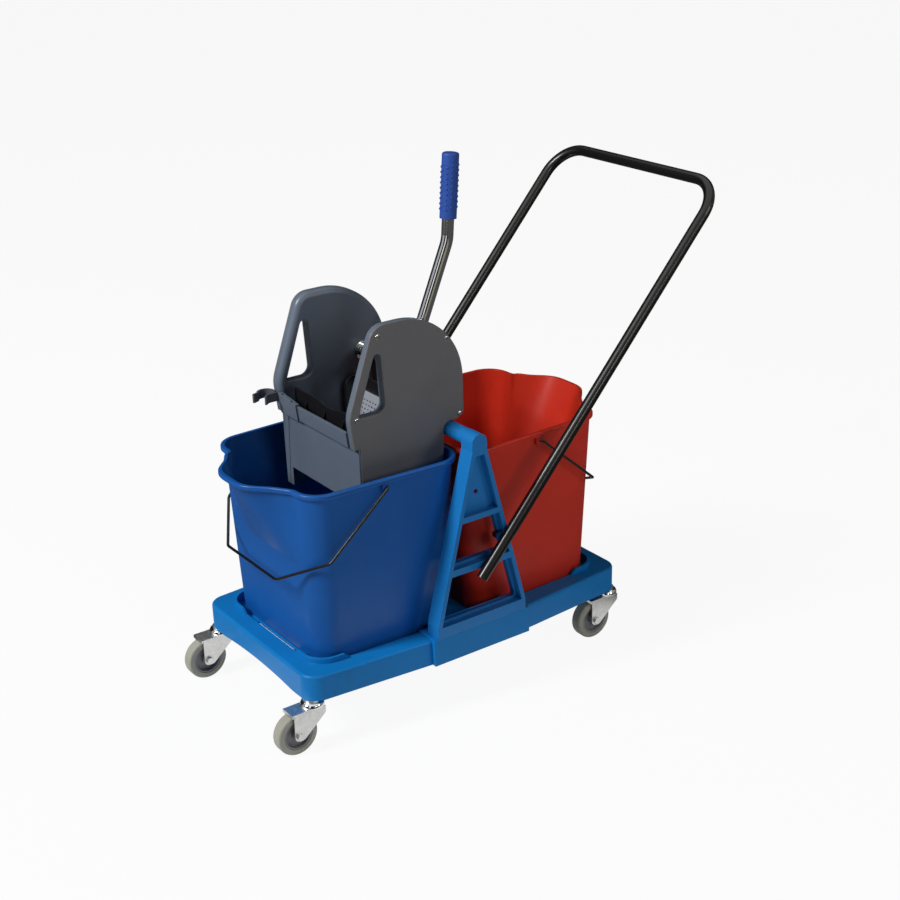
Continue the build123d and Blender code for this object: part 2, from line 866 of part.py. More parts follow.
def frame_bolts():
    """Bolts up through the bridge's rails into the A-frames' feet."""
    bolts = []
    head_radius = frame_bolt_radius * 1.8
    head = frame_bolt_radius * 1.2
    low = rail_top - skirt_wall
    for x in (-frame_bolt_spread, frame_bolt_spread):
        bolt = rod_z(x, -frame_bolt_y, frame_bolt_radius, low, rail_top + frame_bolt_bite)
        bolt += extrude(Pos(x, -frame_bolt_y, low - head) * RegularPolygon(head_radius, 6), head)
        bolts += both_sides(bolt)
    return group(bolts)


frame = left_frame()
save("left_a_frame", frame)
save("right_a_frame", mirror(frame, about=Plane.XZ))
save("frame_bolts", frame_bolts())


# Push handle: one bent tube, bolted to both A-frames
def push_handle():
    ends = [
        (handle_foot_x, -handle_y, handle_foot_z),
        (handle_top_x, -handle_y, handle_top_z),
        (handle_top_x, handle_y, handle_top_z),
        (handle_foot_x, handle_y, handle_foot_z),
    ]
    path = FilletPolyline(*ends, radius=handle_bend)
    ring = Circle(tube_diameter / 2) - Circle(tube_diameter / 2 - tube_wall)
    tube = sweep(Plane(path @ 0, z_dir=path % 0) * ring, path)
    for x, z in handle_bolts_at:
        tube -= both_sides(rod_y(x, z, handle_bolt_radius, -handle_y, -handle_y + tube_diameter / 2))
    return tube


def handle_plugs():
    """Plastic plugs in the tube's lower ends."""
    lean = sqrt(1 + handle_slope**2)
    along = (handle_slope / lean, 0, 1 / lean)
    plane = Plane((handle_foot_x, -handle_y, handle_foot_z), x_dir=(0, 1, 0), z_dir=along)
    plug = extrude(plane * Circle(tube_diameter / 2 - tube_wall), plug_length)
    plug += extrude(plane * Circle(tube_diameter / 2), -plug_cap)
    return group(both_sides(plug))


def handle_bolts():
    """Bolts from threaded inserts in the tube through the A-frames, with nuts at the lower holes."""
    (lower_x, lower_z), (upper_x, upper_z) = handle_bolts_at
    bore_radius = tube_diameter / 2 - tube_wall
    seat = -handle_y + sqrt(bore_radius**2 - handle_insert_radius**2) - running_gap
    lower_tail = -frame_inner + handle_nut_height
    upper_tail = -frame_face + frame_lug_depth + handle_bolt_bite
    bolts = []
    for x, z, tail in ((lower_x, lower_z, lower_tail), (upper_x, upper_z, upper_tail)):
        bolt = rod_y(x, z, handle_bolt_radius, seat, tail)
        bolts.append(bolt + rod_y(x, z, handle_insert_radius, seat - handle_insert_length, seat))
    bolts[0] += hexagon_y(lower_x, lower_z, handle_nut_radius, -frame_inner, lower_tail)
    return group([side for bolt in bolts for side in both_sides(bolt)])


def left_knob():
    """A small lobed hand knob on the upper bolt, behind the lug at the A-frame's leg."""
    x, z = handle_bolts_at[1]
    low = -frame_face + frame_lug_depth + running_gap
    head_low = low + knob_neck_length
    head_high = head_low + knob_thickness
    knob = rod_y(x, z, knob_neck_radius, low, head_low)
    knob += rod_y(x, z, knob_radius - knob_lobe_radius * 0.4, head_low, head_high)
    for i in range(knob_lobes):
        turn = 2 * pi * i / knob_lobes
        reach = knob_radius - knob_lobe_radius
        knob += rod_y(x + reach * cos(turn), z + reach * sin(turn), knob_lobe_radius, head_low, head_high)
    bore_end = -frame_face + frame_lug_depth + handle_bolt_bite + running_gap
    return knob - rod_y(x, z, handle_bolt_radius + shaft_clearance, low, bore_end)


knob = left_knob()
save("push_handle", push_handle())
save("handle_plugs", handle_plugs())
save("handle_bolts", handle_bolts())
save("left_handle_knob", knob)
save("right_handle_knob", mirror(knob, about=Plane.XZ))


# Wringer: two hollow side panels with covers, joined across by plates
def front_x(z):
    """The wringer's front below its nose: one slope to the strip's foot, then the plate set back from it."""
    if z >= strip_low:
        share = (z - strip_low) / (panel_nose_rise - panel_groove_rise)
        return between(panel_groove_x, panel_nose_x, share)
    share = (z - wringer_foot) / (panel_groove_rise + panel_foot_drop)
    return between(panel_foot_x, plate_top_x, share)


def panel_corners(inset):
    """Side view of a wringer panel as rounded corners, drawn in by inset."""
    step = front_plate_metal + inset
    lobe_low = hook_z + notch_radius + inset
    rear = panel_rear_x - inset
    foot = wringer_foot + inset
    top = hook_z + panel_top_rise - inset
    return [
        (front_x(wringer_foot) + step, foot, 0),
        (plate_top_x + step, strip_low + inset, 0),
        (panel_groove_x + inset, strip_low + inset, 0),
        (panel_nose_x + inset, hook_z + panel_nose_rise, panel_nose_round),
        (panel_top_x + inset, top, panel_front_round - inset),
        (rear, top, panel_rear_round - inset),
        (rear, lobe_low + lobe_rise, lobe_round),
        (lobe_flat, lobe_low, lobe_round),
        (-notch_radius - inset, lobe_low, notch_radius + inset),
        (-notch_radius - inset, hook_z - notch_radius, 0),
        (panel_foot_rear_x - inset, foot, 0),
    ]


def hole_corners(grow):
    """The triangular hand hole, grown outwards by a wall."""
    apex, low_front, low_rear = hand_hole
    return [
        (apex[0], hook_z + apex[1] + 5.0 * grow, apex[2] + grow),
        (low_front[0] - 1.7 * grow, hook_z + low_front[1] - grow, low_front[2] + grow),
        (low_rear[0] + 1.1 * grow, hook_z + low_rear[1] - grow, low_rear[2] + grow),
    ]


def left_shell():
    body = slab(rounded_face(panel_corners(0)), -cover_inner, -panel_inner)
    inner_edges = body.faces().sort_by(Axis.Y)[-1].edges()
    body = fillet(inner_edges.filter_by(lambda edge: edge.center().Z > strip_top), shell_round)
    body -= slab(rounded_face(hole_corners(0)), -cover_inner, -panel_inner)
    body = fillet(body.faces().sort_by(Axis.Y)[-1].inner_wires()[0].edges(), shell_hole_round)
    pocket = slab(rounded_face(panel_corners(pocket_inset)), -cover_inner, -panel_inner - panel_wall)
    pocket -= slab(rounded_face(hole_corners(panel_wall)), -cover_inner, -panel_inner)
    for x, rise in cover_screw_spots:
        pocket -= rod_y(x, hook_z + rise, screw_boss_radius, -cover_inner, -panel_inner)
    journal_boss = journal_radius + panel_wall
    pocket -= rod_y(shaft_x, shaft_z, journal_boss, -panel_inner - journal_reach, -panel_inner)
    body -= pocket
    for x, rise in cover_screw_spots:
        body -= rod_y(x, hook_z + rise, screw_radius, -cover_inner, -cover_inner + screw_length)
    journal_hole = journal_radius + shaft_clearance
    return body - rod_y(shaft_x, shaft_z, journal_hole, -panel_inner - journal_reach, -panel_inner)


def left_cover():
    body = slab(rounded_face(panel_corners(0)), -wringer_half_width, -cover_inner)
    body = fillet(body.faces().sort_by(Axis.Y)[0].edges(), cover_round)
    body -= slab(rounded_face(hole_corners(0)), -wringer_half_width, -cover_inner)
    body = fillet(body.faces().sort_by(Axis.Y)[0].inner_wires()[0].edges(), cover_hole_round)
    for x, rise in cover_screw_spots:
        body -= rod_y(x, hook_z + rise, screw_radius, -wringer_half_width, -cover_inner)
    return body


def cover_screws():
    """Round-headed screws that hold the panel covers."""
    screws = []
    for x, rise in cover_screw_spots:
        z = hook_z + rise
        head = rod_y(x, z, screw_head_radius, -wringer_half_width - screw_head_height, -wringer_half_width)
        crown = head.edges().filter_by(GeomType.CIRCLE).sort_by(Axis.Y)[0]
        screw = fillet(crown, screw_head_height * 0.8)
        screw += rod_y(x, z, screw_radius, -wringer_half_width, -cover_inner + screw_length)
        screws += both_sides(screw)
    return group(screws)


def front_layer(z_low, z_high, near, far):
    """Side view of a plate that follows the wringer's front between two depths behind it."""
    return Polygon(
        (front_x(z_low) + near, z_low),
        (front_x(z_low) + far, z_low),
        (front_x(z_high) + far, z_high),
        (front_x(z_high) + near, z_high),
        align=None,
    )


def front_strip():
    """The bar across the front between the panels."""
    return slab(front_layer(strip_low, strip_top, 0, strip_depth), -panel_inner, panel_inner)


def front_plate():
    """The lower front wall, with a cut-out that leaves two legs and a groove along its right edge."""
    half = wringer_half_width - front_plate_margin
    high = strip_low - front_plate_gap
    body = slab(front_layer(wringer_foot, high, 0, front_plate_metal), -half, half)
    cutout_half = half - front_leg_width
    cutout_high = wringer_foot + front_cutout_rise
    body -= block((panel_nose_x, 0), (-cutout_half, cutout_half), (wringer_foot, cutout_high))
    groove = Polygon(
        (half - front_plate_groove_foot, wringer_foot),
        (half - front_plate_groove_foot + front_plate_groove, wringer_foot),
        (half - front_plate_groove_top + front_plate_groove, high),
        (half - front_plate_groove_top, high),
        align=None,
    )
    across = Plane((panel_nose_x, 0, 0), x_dir=(0, 1, 0), z_dir=(1, 0, 0))
    front_skin = slab(front_layer(wringer_foot, high, 0, front_plate_groove), -half, half)
    return body - (extrude(across * groove, -panel_nose_x, dir=(1, 0, 0)) & front_skin)


clip_block_high = strip_top + clip_block_high_top
clip_block_start = panel_inner - clip_block_length
clip_block_end = panel_inner + clip_block_ear
clip_y = clip_block_end + clip_radius + clip_wall
clip_x = front_x(strip_top) - clip_stand_off
clip_high = clip_block_high
clip_low = clip_high - clip_height


def clip_block():
    """The hooked block over the strip's right end, with a sloped top, that carries the pole clip."""
    apron = front_layer(strip_low, clip_block_high, -clip_block_lap, 0)
    cap = front_layer(strip_top, clip_block_high, -clip_block_lap, strip_depth)
    body = slab(apron, clip_block_start, clip_block_end) + slab(cap, clip_block_start, panel_inner)
    low_top = strip_top + clip_block_low_top
    above = Polygon(
        (clip_block_start, low_top),
        (clip_block_end, clip_block_high),
        (clip_block_start, clip_block_high),
        align=None,
    )
    across = Plane((2 * panel_nose_x, 0, 0), x_dir=(0, 1, 0), z_dir=(1, 0, 0))
    body -= extrude(across * above, -2 * panel_nose_x, dir=(1, 0, 0))
    hole_x = front_x(clip_block_high) + (strip_depth - clip_block_lap) / 2
    half = clip_block_hole / 2
    for share in (0.28, 0.84):
        y = between(clip_block_start, panel_inner, share)
        body -= block((hole_x - half, hole_x + half), (y - half, y + half), (strip_top, clip_block_high))
    return body


def pole_clip():
    """A springy C-clip that holds a mop pole upright, with two straight lips at its mouth."""
    outer = clip_radius + clip_wall
    spread = radians(clip_opening / 2)
    mouth_x, mouth_half = clip_radius * cos(spread), clip_radius * sin(spread)
    reach = 2 * outer
    wedge = reach * tan(spread)
    ring = Circle(outer) - Circle(clip_radius)
    ring -= Polygon((0, 0), (reach, wedge), (reach, -wedge), align=None)
    tip_x = mouth_x + clip_lip_length
    for side in (-1, 1):
        near, far = side * mouth_half, side * (mouth_half + clip_wall)
        flare = side * clip_wall * 0.5
        lip = [(mouth_x, near), (mouth_x, far), (tip_x, far + flare), (tip_x, near + flare)]
        ring += Polygon(*lip, align=None)
    body = lift(Pos(clip_x, clip_y) * Rot(0, 0, clip_facing) * ring, clip_low, clip_high)
    foot = block((clip_x, clip_x + clip_foot), (clip_block_end, clip_y - clip_radius), (clip_low, clip_high))
    return body + (foot - rod_z(clip_x, clip_y, clip_radius, clip_low, clip_high))


floor_low = wringer_foot + floor_rise
floor_high = floor_low + floor_metal
sieve_high = strip_top + sieve_rise


def sieve_x(z):
    """Front of the sloped sieve at a height."""
    foot_x = panel_foot_x + front_plate_metal + sieve_foot_gap
    top_x = front_x(strip_top) + strip_depth + sieve_gap
    return between(foot_x, top_x, (z - wringer_foot) / (strip_top - wringer_foot))


def front_sieve():
    """The pierced plate that the mop is squeezed against, with a dip in its top and gussets to the front."""
    half = panel_inner - running_gap
    dip_start, dip_end = sieve_wave_y - sieve_wave_half, sieve_wave_y + sieve_wave_half
    dip = (sieve_wave_y, sieve_high - sieve_wave)
    outline = make_face(
        [
            Line((-half, floor_high), (half, floor_high)),
            Line((half, floor_high), (half, sieve_high)),
            Line((half, sieve_high), (dip_end, sieve_high)),
            Spline((dip_end, sieve_high), dip, (dip_start, sieve_high), tangents=[(-1, 0), (-1, 0)]),
            Line((dip_start, sieve_high), (-half, sieve_high)),
            Line((-half, sieve_high), (-half, floor_high)),
        ]
    )
    across = Plane((panel_nose_x, 0, 0), x_dir=(0, 1, 0), z_dir=(1, 0, 0))
    curtain = extrude(across * outline, -panel_nose_x, dir=(1, 0, 0))
    side = Polygon(
        (sieve_x(floor_high), floor_high),
        (sieve_x(floor_high) + sieve_metal, floor_high),
        (sieve_x(sieve_high) + sieve_metal, sieve_high),
        (sieve_x(sieve_high), sieve_high),
        align=None,
    )
    body = slab(side, -half, half) & curtain
    holes = []
    columns, rows = 8, 5
    for row in range(rows):
        z = between(floor_high, strip_low, (row + 0.6) / rows)
        for column in range(columns):
            y = between(-half, half, (column + 0.5) / columns)
            holes.append(rod_x(y, z, sieve_hole_radius, panel_nose_x, 0))
    body -= holes
    rib_high, rib_low = strip_top + sieve_rib_rise, strip_low - sieve_rib_drop
    rib_side = Polygon(
        (sieve_x(rib_high) + sieve_metal / 2, rib_high),
        (front_x(rib_low) + front_plate_metal, rib_low),
        (sieve_x(rib_low) + sieve_metal / 2, rib_low),
        align=None,
    )
    for step in (-1, 0, 1):
        y = sieve_rib_middle + sieve_rib_pitch * step
        body += slab(rib_side, y - sieve_metal / 2, y + sieve_metal / 2)
    return body


def wringer_floor():
    """The pierced floor of the wringer's basket."""
    front = sieve_x(floor_low)
    rear = rear_plate_front
    body = block((front, rear), (-panel_inner, panel_inner), (floor_low, floor_high))
    holes = []
    columns, rows = 8, 4
    for row in range(rows):
        x = between(front + 2 * sieve_metal, rear, (row + 0.5) / rows)
        for column in range(columns):
            y = between(-panel_inner, panel_inner, (column + 0.5) / columns)
            holes.append(rod_z(x, y, sieve_hole_radius, floor_low, floor_high))
    return body - holes


rear_plate_front = panel_foot_rear_x - rear_plate_metal


def rear_plate():
    """The wall across the back of the wringer."""
    return block(
        (rear_plate_front, panel_foot_rear_x),
        (-panel_inner, panel_inner),
        (wringer_foot, hook_z - rear_plate_drop),
    )


shell = left_shell()
cover = left_cover()
save("left_wringer_panel", shell)
save("right_wringer_panel", mirror(shell, about=Plane.XZ))
save("left_panel_cover", cover)
save("right_panel_cover", mirror(cover, about=Plane.XZ))
save("cover_screws", cover_screws())
save("wringer_front_strip", front_strip())
save("wringer_front_plate", front_plate())
save("wringer_rear_plate", rear_plate())
save("wringer_floor", wringer_floor())
save("front_sieve", front_sieve())
save("clip_block", clip_block())
save("pole_clip", pole_clip())


# Press: the lever turns a shaft in the panels and swings the press jaw under it
jaw_x = shaft_x - jaw_setback
jaw_face_x = jaw_x - jaw_wall
jaw_half = panel_inner - jaw_side_gap
jaw_top = shaft_z - jaw_top_drop
jaw_shoulder = shaft_z - jaw_shoulder_drop
jaw_bottom = shaft_z - jaw_bottom_drop


def press_shaft():
    inner = panel_inner - running_gap
    shaft = rod_y(shaft_x, shaft_z, shaft_radius, -inner, inner)
    for side in both_sides(rod_y(shaft_x, shaft_z, washer_radius, -inner, -inner + washer_height)):
        shaft += side
    tail = panel_inner + journal_reach
    shaft += rod_y(shaft_x, shaft_z, journal_radius, -tail, tail)
    return shaft - rod_y(shaft_x, shaft_z, journal_radius - shaft_wall, -tail, tail)


def press_jaw():
    """The swinging jaw: a back wall with two cheeks, hung from the shaft on two arms."""
    body = block((jaw_face_x, jaw_x), (-jaw_half, jaw_half), (jaw_bottom, jaw_top))
    cheek = rounded_face(
        [
            (jaw_face_x, jaw_bottom, 0),
            (jaw_face_x, jaw_top, 0),
            (jaw_face_x - jaw_cheek_reach, jaw_top, jaw_cheek_round),
            (jaw_face_x - jaw_cheek_reach, jaw_shoulder, jaw_cheek_round),
        ]
    )
    for side in both_sides(slab(cheek, -jaw_half, -jaw_half + jaw_cheek)):
        body += side
    half_arm = press_arm_width / 2
    arm_low = between(jaw_bottom, jaw_top, 0.4)
    arm_side = Polygon(
        (jaw_x, arm_low),
        (shaft_x + press_collar_radius * 0.8, shaft_z),
        (shaft_x - press_collar_radius * 0.8, shaft_z),
        (jaw_x, jaw_top),
        align=None,
    )
    for middle in (-press_arm_half, press_arm_half):
        body += slab(arm_side, middle - half_arm, middle + half_arm)
        body += rod_y(shaft_x, shaft_z, press_collar_radius, middle - half_arm, middle + half_arm)
    return body - rod_y(shaft_x, shaft_z, shaft_radius, -jaw_half, jaw_half)


def press_plate():
    """The pierced plate on the jaw's face that squeezes the mop."""
    high, low = shaft_z - press_top_drop, shaft_z - press_bottom_drop
    half = jaw_half - jaw_cheek
    front = jaw_face_x - press_metal
    plate = block((front, jaw_face_x), (-half, half), (low, high))
    columns = int(2 * half / press_hole_pitch) - 1
    rows = int((high - low) / press_hole_pitch) - 1
    holes = []
    for row in range(rows):
        z = low + press_hole_pitch * (row + 1)
        shift = press_hole_pitch * (row % 2) / 2
        for column in range(columns):
            y = press_hole_pitch * (column - (columns - 1) / 2) + shift - press_hole_pitch / 4
            holes.append(rod_x(y, z, press_hole_radius, front, jaw_face_x))
    return plate - holes


lean = radians(lever_lean)
top_lean = radians(lever_top_lean)
lever_bend_x = shaft_x + lever_bend_height * tan(lean)
lever_bend_z = shaft_z + lever_bend_height
lever_top_x = lever_bend_x + lever_top_length * sin(top_lean)
lever_top_z = lever_bend_z + lever_top_length * cos(top_lean)


def lever():
    """A bent chromed tube clamped to the shaft."""
    path = FilletPolyline(
        (shaft_x, lever_y, shaft_z),
        (lever_bend_x, lever_y, lever_bend_z),
        (lever_top_x, lever_y, lever_top_z),
        radius=lever_bend_radius,
    )
    start = Plane(path @ 0, z_dir=path % 0)
    tube = sweep(start * Circle(lever_radius), path)
    bore = sweep(start * Circle(lever_radius - lever_wall), path)
    collar_half = lever_collar_width / 2
    collar = rod_y(shaft_x, shaft_z, press_collar_radius, lever_y - collar_half, lever_y + collar_half)
    body = (tube - bore) + collar
    return body - rod_y(shaft_x, shaft_z, shaft_radius, lever_y - collar_half, lever_y + collar_half)


def lever_grip():
    """A sleeve over the lever's end, closed at the top."""
    along = Vector(sin(top_lean), 0, cos(top_lean))
    end = Vector(lever_top_x, lever_y, lever_top_z)
    start = end - along * (grip_length - grip_cap)
    plane = Plane(start, x_dir=(0, 1, 0), z_dir=along)
    sleeve = extrude(plane * Circle(grip_radius), grip_length)
    sleeve = fillet(sleeve.edges().filter_by(GeomType.CIRCLE).sort_by(Axis.Z)[-1], grip_cap * 0.9)
    return sleeve - extrude(plane * Circle(lever_radius), grip_length - grip_cap)


def return_spring():
    """A torsion spring wound on the shaft: quarter-turn arcs along a helix, then two straight legs."""
    start_y = -press_arm_half - press_arm_width / 2 - 2 * spring_wire - spring_pitch * spring_turns
    quarter = pi / 2

    def coil_point(turn):
        return Vector(
            shaft_x + spring_radius * cos(turn),
            start_y + spring_pitch * turn / (2 * pi),
            shaft_z + spring_radius * sin(turn),
        )

    arcs = []
    quarters = 4 * spring_turns
    for i in range(quarters):
        middle = coil_point((i + 0.5) * quarter)
        arcs.append(ThreePointArc(coil_point(i * quarter), middle, coil_point((i + 1) * quarter)))
    first, last = coil_point(0), coil_point(quarters * quarter)
    rise = spring_pitch / (2 * pi * spring_radius)
    knee = first - Vector(0, rise, 1) * spring_leg
    foot = Vector(knee.X, -panel_inner, knee.Z)
    lead = FilletPolyline(foot, knee, first, radius=2 * spring_wire)
    tail = Line(last, last + Vector(0, rise, 1) * spring_leg)
    path = Wire([*lead.edges(), *arcs, tail])
    points = [path @ (i / spring_samples) for i in range(spring_samples + 1)]
    apart = int(spring_samples * pi * spring_radius / path.length)
    least = min(
        (points[i] - points[j]).length
        for i in range(spring_samples + 1)
        for j in range(i + apart, spring_samples + 1)
    )
    print("spring: least gap to itself", round(least - 2 * spring_wire, 2), "mm")
    return sweep(Plane(path @ 0, z_dir=path % 0) * Circle(spring_wire), path)


save("press_shaft", press_shaft())
save("press_jaw", press_jaw())
save("press_plate", press_plate())
save("wringer_lever", lever())
save("lever_grip", lever_grip())
save("return_spring", return_spring())
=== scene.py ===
import json
import math

import bmesh
import bpy
from mathutils import Matrix, Vector


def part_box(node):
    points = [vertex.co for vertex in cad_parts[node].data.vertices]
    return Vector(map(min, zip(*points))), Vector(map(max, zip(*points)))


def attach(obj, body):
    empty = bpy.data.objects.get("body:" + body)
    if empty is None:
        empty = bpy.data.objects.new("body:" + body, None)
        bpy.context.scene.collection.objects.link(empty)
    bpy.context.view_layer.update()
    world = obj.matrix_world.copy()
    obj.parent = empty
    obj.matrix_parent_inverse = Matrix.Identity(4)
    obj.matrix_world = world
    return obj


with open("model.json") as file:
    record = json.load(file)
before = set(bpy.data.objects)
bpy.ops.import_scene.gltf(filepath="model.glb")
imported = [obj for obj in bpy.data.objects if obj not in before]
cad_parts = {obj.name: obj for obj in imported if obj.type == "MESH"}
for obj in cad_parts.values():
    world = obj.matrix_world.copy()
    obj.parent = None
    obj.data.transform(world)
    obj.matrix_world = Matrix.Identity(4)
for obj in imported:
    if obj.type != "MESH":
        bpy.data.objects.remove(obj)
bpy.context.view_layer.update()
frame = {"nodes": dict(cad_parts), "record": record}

nodes = frame["nodes"]

# Camera fitted to the photograph: focal length in pixels of a 900 pixel picture, angles in degrees
picture = 900
focal = 1602.9
pitch = 22.363
yaw = 54.756
roll = -1.491
centre_shift = (-0.79, -7.25)
camera_place = (-1.45737, -2.18109, 1.49201)
sensor_width = 36.0

# Span of the noise over which a colour or a gloss goes from one end to the other
noise_low = 0.3
noise_high = 0.7

# Edges sharper than this many degrees stay crisp, on the CAD nodes and on added pieces
node_crease = 32
added_crease = 50

# Distance of the studio cards from the object, in metres
card_reach = 6.5


# Materials
def new_material(name):
    """A material with an empty node tree apart from its output and a Principled shader."""
    material = bpy.data.materials.new(name)
    material.use_nodes = True
    tree = material.node_tree
    return material, tree, tree.nodes["Principled BSDF"]


def add_noise(tree, scale, detail=3.0, stretch=None):
    """Noise in the part's own frame, in metres; stretch scales the axes apart."""
    place = tree.nodes.new("ShaderNodeTexCoord")
    noise = tree.nodes.new("ShaderNodeTexNoise")
    noise.inputs["Scale"].default_value = scale
    noise.inputs["Detail"].default_value = detail
    if stretch is None:
        tree.links.new(place.outputs["Object"], noise.inputs["Vector"])
    else:
        mapping = tree.nodes.new("ShaderNodeMapping")
        mapping.inputs["Scale"].default_value = stretch
        tree.links.new(place.outputs["Object"], mapping.inputs["Vector"])
        tree.links.new(mapping.outputs["Vector"], noise.inputs["Vector"])
    return noise


def vary_colour(tree, shader, noise, colour, spread):
    """Base colour that drifts a little lighter and darker with the noise."""
    ramp = tree.nodes.new("ShaderNodeValToRGB")
    low = [channel * (1 - spread) for channel in colour]
    high = [min(1.0, channel * (1 + spread)) for channel in colour]
    ramp.color_ramp.elements[0].position = noise_low
    ramp.color_ramp.elements[0].color = (*low, 1)
    ramp.color_ramp.elements[1].position = noise_high
    ramp.color_ramp.elements[1].color = (*high, 1)
    tree.links.new(noise.outputs["Fac"], ramp.inputs["Fac"])
    tree.links.new(ramp.outputs["Color"], shader.inputs["Base Color"])


def vary_roughness(tree, shader, noise, low, high):
    """Roughness between two values with the noise."""
    span = tree.nodes.new("ShaderNodeMapRange")
    span.inputs["From Min"].default_value = noise_low
    span.inputs["From Max"].default_value = noise_high
    span.inputs["To Min"].default_value = low
    span.inputs["To Max"].default_value = high
    tree.links.new(noise.outputs["Fac"], span.inputs["Value"])
    tree.links.new(span.outputs["Result"], shader.inputs["Roughness"])


def add_bump(tree, shader, noise, distance, strength, edge_round):
    """Surface grain, on normals that are rounded over sharp edges."""
    bump = tree.nodes.new("ShaderNodeBump")
    bump.inputs["Distance"].default_value = distance
    bump.inputs["Strength"].default_value = strength
    tree.links.new(noise.outputs["Fac"], bump.inputs["Height"])
    bevel = tree.nodes.new("ShaderNodeBevel")
    bevel.samples = 6
    bevel.inputs["Radius"].default_value = edge_round
    tree.links.new(bevel.outputs["Normal"], bump.inputs["Normal"])
    tree.links.new(bump.outputs["Normal"], shader.inputs["Normal"])


def plastic(
    name,
    colour,
    roughness,
    grain=900.0,
    depth=0.00006,
    level=0.3,
    spread=0.05,
    edge=0.0012,
    stretch=None,
    uneven=0.12,
):
    """Moulded plastic with slow colour drift, uneven gloss and a fine grain."""
    material, tree, shader = new_material(name)
    drift = add_noise(tree, scale=9.0)
    gloss = add_noise(tree, scale=40.0)
    fine = add_noise(tree, grain, detail=2.0, stretch=stretch)
    vary_colour(tree, shader, drift, colour, spread)
    vary_roughness(tree, shader, gloss, roughness * (1 - uneven), roughness * (1 + uneven))
    add_bump(tree, shader, fine, depth, strength=0.6, edge_round=edge)
    shader.inputs["Specular IOR Level"].default_value = level
    return material


def metal(name, colour, roughness, grain=400.0, depth=0.00003, spread=0.06, edge=0.0006, uneven=0.25):
    """Bare or plated metal with uneven polish."""
    material, tree, shader = new_material(name)
    drift = add_noise(tree, scale=25.0)
    fine = add_noise(tree, grain, detail=2.0)
    vary_colour(tree, shader, drift, colour, spread)
    vary_roughness(tree, shader, fine, roughness * (1 - uneven), roughness * (1 + uneven))
    add_bump(tree, shader, fine, depth, strength=0.5, edge_round=edge)
    shader.inputs["Metallic"].default_value = 1.0
    return material


streaks = (1.0, 1.0, 0.04)
black = (0.004, 0.004, 0.004)
even_gloss = {"depth": 0.000002, "level": 0.5, "edge": 0.0001, "uneven": 0.02}
slot_materials = {
    "chassis_blue": plastic("chassis_blue", (0.005, 0.185, 0.520), 0.36, level=0.18),
    "frame_blue": plastic(
        "frame_blue", (0.010, 0.180, 0.500), 0.36, grain=500.0, depth=0.00012, stretch=streaks
    ),
    "bucket_blue": plastic("bucket_blue", (0.006, 0.093, 0.360), 0.32),
    "bucket_red": plastic("bucket_red", (0.580, 0.028, 0.012), 0.38),
    "wringer_grey": plastic(
        "wringer_grey", (0.120, 0.150, 0.198), 0.36, grain=1400.0, depth=0.00010, level=0.5, edge=0.0020
    ),
    "cover_grey": plastic(
        "cover_grey", (0.150, 0.150, 0.158), 0.44, grain=1400.0, depth=0.00010, level=0.45, edge=0.0016
    ),
    "clip_grey": plastic("clip_grey", (0.090, 0.098, 0.120), 0.42, level=0.35),
    "black_plastic": plastic("black_plastic", (0.010, 0.010, 0.012), 0.32, level=0.4),
    "plate_grey": plastic("plate_grey", (0.38, 0.41, 0.46), 0.42),
    "black_tube": plastic("black_tube", black, 0.28, **even_gloss),
    "black_wire": plastic("black_wire", black, 0.28, **even_gloss),
    "wheel_grey": plastic("wheel_grey", (0.25, 0.25, 0.27), 0.42),
    "tyre_grey": plastic("tyre_grey", (0.37, 0.37, 0.31), 0.55, grain=700.0, depth=0.00008),
    "grip_blue": plastic("grip_blue", (0.025, 0.080, 0.36), 0.45),
    "chrome": metal("chrome", (0.74, 0.75, 0.76), 0.08),
    "zinc": metal("zinc", (0.62, 0.62, 0.61), 0.36, grain=220.0, depth=0.00005),
    "spring_steel": metal("spring_steel", (0.40, 0.40, 0.41), 0.28),
}


def shade_smooth(piece, crease):
    """Smooth shading that stays crisp at edges sharper than crease degrees."""
    for polygon in piece.data.polygons:
        polygon.use_smooth = True
    split = piece.modifiers.new("crisp_edges", "EDGE_SPLIT")
    split.split_angle = math.radians(crease)


def set_material(piece, slot_name):
    piece.data.materials.clear()
    piece.data.materials.append(slot_materials[slot_name])


for entry in frame["record"]["subparts"]:
    set_material(nodes[entry["node"]], entry["material_slot"])
for piece in nodes.values():
    shade_smooth(piece, node_crease)


# Pieces that the scene adds to the CAD nodes
def add_piece(name, grid, body, slot_name):
    """A scene piece from a bmesh, riding on a body and finished as one of the record's slots."""
    mesh = bpy.data.meshes.new(name)
    grid.to_mesh(mesh)
    grid.free()
    piece = bpy.data.objects.new(name, mesh)
    bpy.context.scene.collection.objects.link(piece)
    set_material(piece, slot_name)
    shade_smooth(piece, added_crease)
    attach(piece, body)


def add_dome(grid, turn, radius, height, sink, rings=4, sides=12):
    """A low closed dome on the local XY plane, with a skirt sunk below it."""
    levels = [(radius, -sink)]
    for ring in range(rings):
        angle = math.radians(90) * ring / rings
        levels.append((radius * math.cos(angle), height * math.sin(angle)))
    loops = []
    for reach, rise in levels:
        loop = []
        for side in range(sides):
            angle = math.tau * side / sides
            spot = Vector((reach * math.cos(angle), reach * math.sin(angle), rise))
            loop.append(grid.verts.new(turn @ spot))
        loops.append(loop)
    for lower, upper in zip(loops, loops[1:]):
        for side in range(sides):
            following = (side + 1) % sides
            grid.faces.new((lower[side], lower[following], upper[following], upper[side]))
    top = grid.verts.new(turn @ Vector((0, 0, height)))
    for side in range(sides):
        grid.faces.new((loops[-1][side], loops[-1][(side + 1) % sides], top))
    grid.faces.new(list(reversed(loops[0])))


